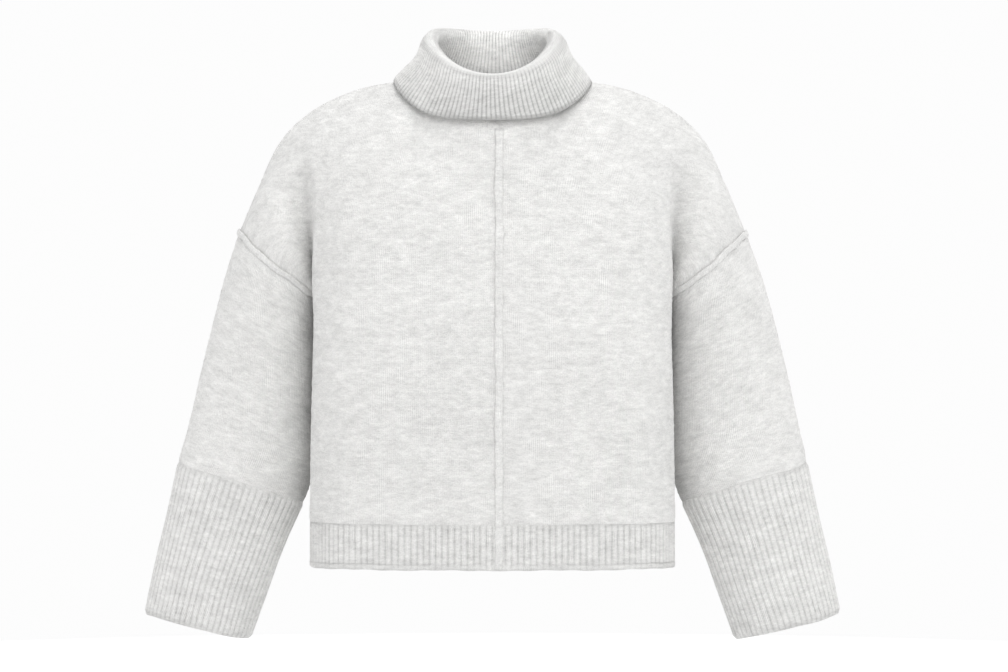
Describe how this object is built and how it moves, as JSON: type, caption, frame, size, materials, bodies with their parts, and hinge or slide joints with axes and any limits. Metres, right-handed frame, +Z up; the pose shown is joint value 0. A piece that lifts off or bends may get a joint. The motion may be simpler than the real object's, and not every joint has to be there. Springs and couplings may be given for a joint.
{
  "type": "turtleneck sweater, worn form, held up by the wearer",
  "caption": "Cropped boxy turtleneck sweater with drop shoulders, wide sleeves, deep ribbed cuffs, a ribbed hem and a folded ribbed collar, in its hollow worn form.",
  "frame": {"origin": "middle of the neck at the height where the sweater rests on the wearer's shoulders", "axes": "+X towards the wearer's left sleeve, +Y out of the back, +Z up; the front faces -Y"},
  "size_m": [0.7518, 0.2458, 0.6628],
  "materials": {
    "brushed_knit": "pale heather grey brushed wool knit, matt and fuzzy",
    "rib_knit": "pale heather grey ribbed wool knit, matt and fuzzy"
  },
  "bodies": {
    "root": {"front_left": "brushed_knit", "front_right": "brushed_knit", "back": "brushed_knit", "sleeve_left": "brushed_knit", "sleeve_right": "brushed_knit", "seam_ridge_centre": "brushed_knit", "seam_ridge_armhole_left": "brushed_knit", "seam_ridge_armhole_right": "brushed_knit", "hem_front_left": "rib_knit", "hem_front_right": "rib_knit", "hem_back": "rib_knit", "cuff_left": "rib_knit", "cuff_right": "rib_knit", "collar": "rib_knit"}
  },
  "joints": []
}
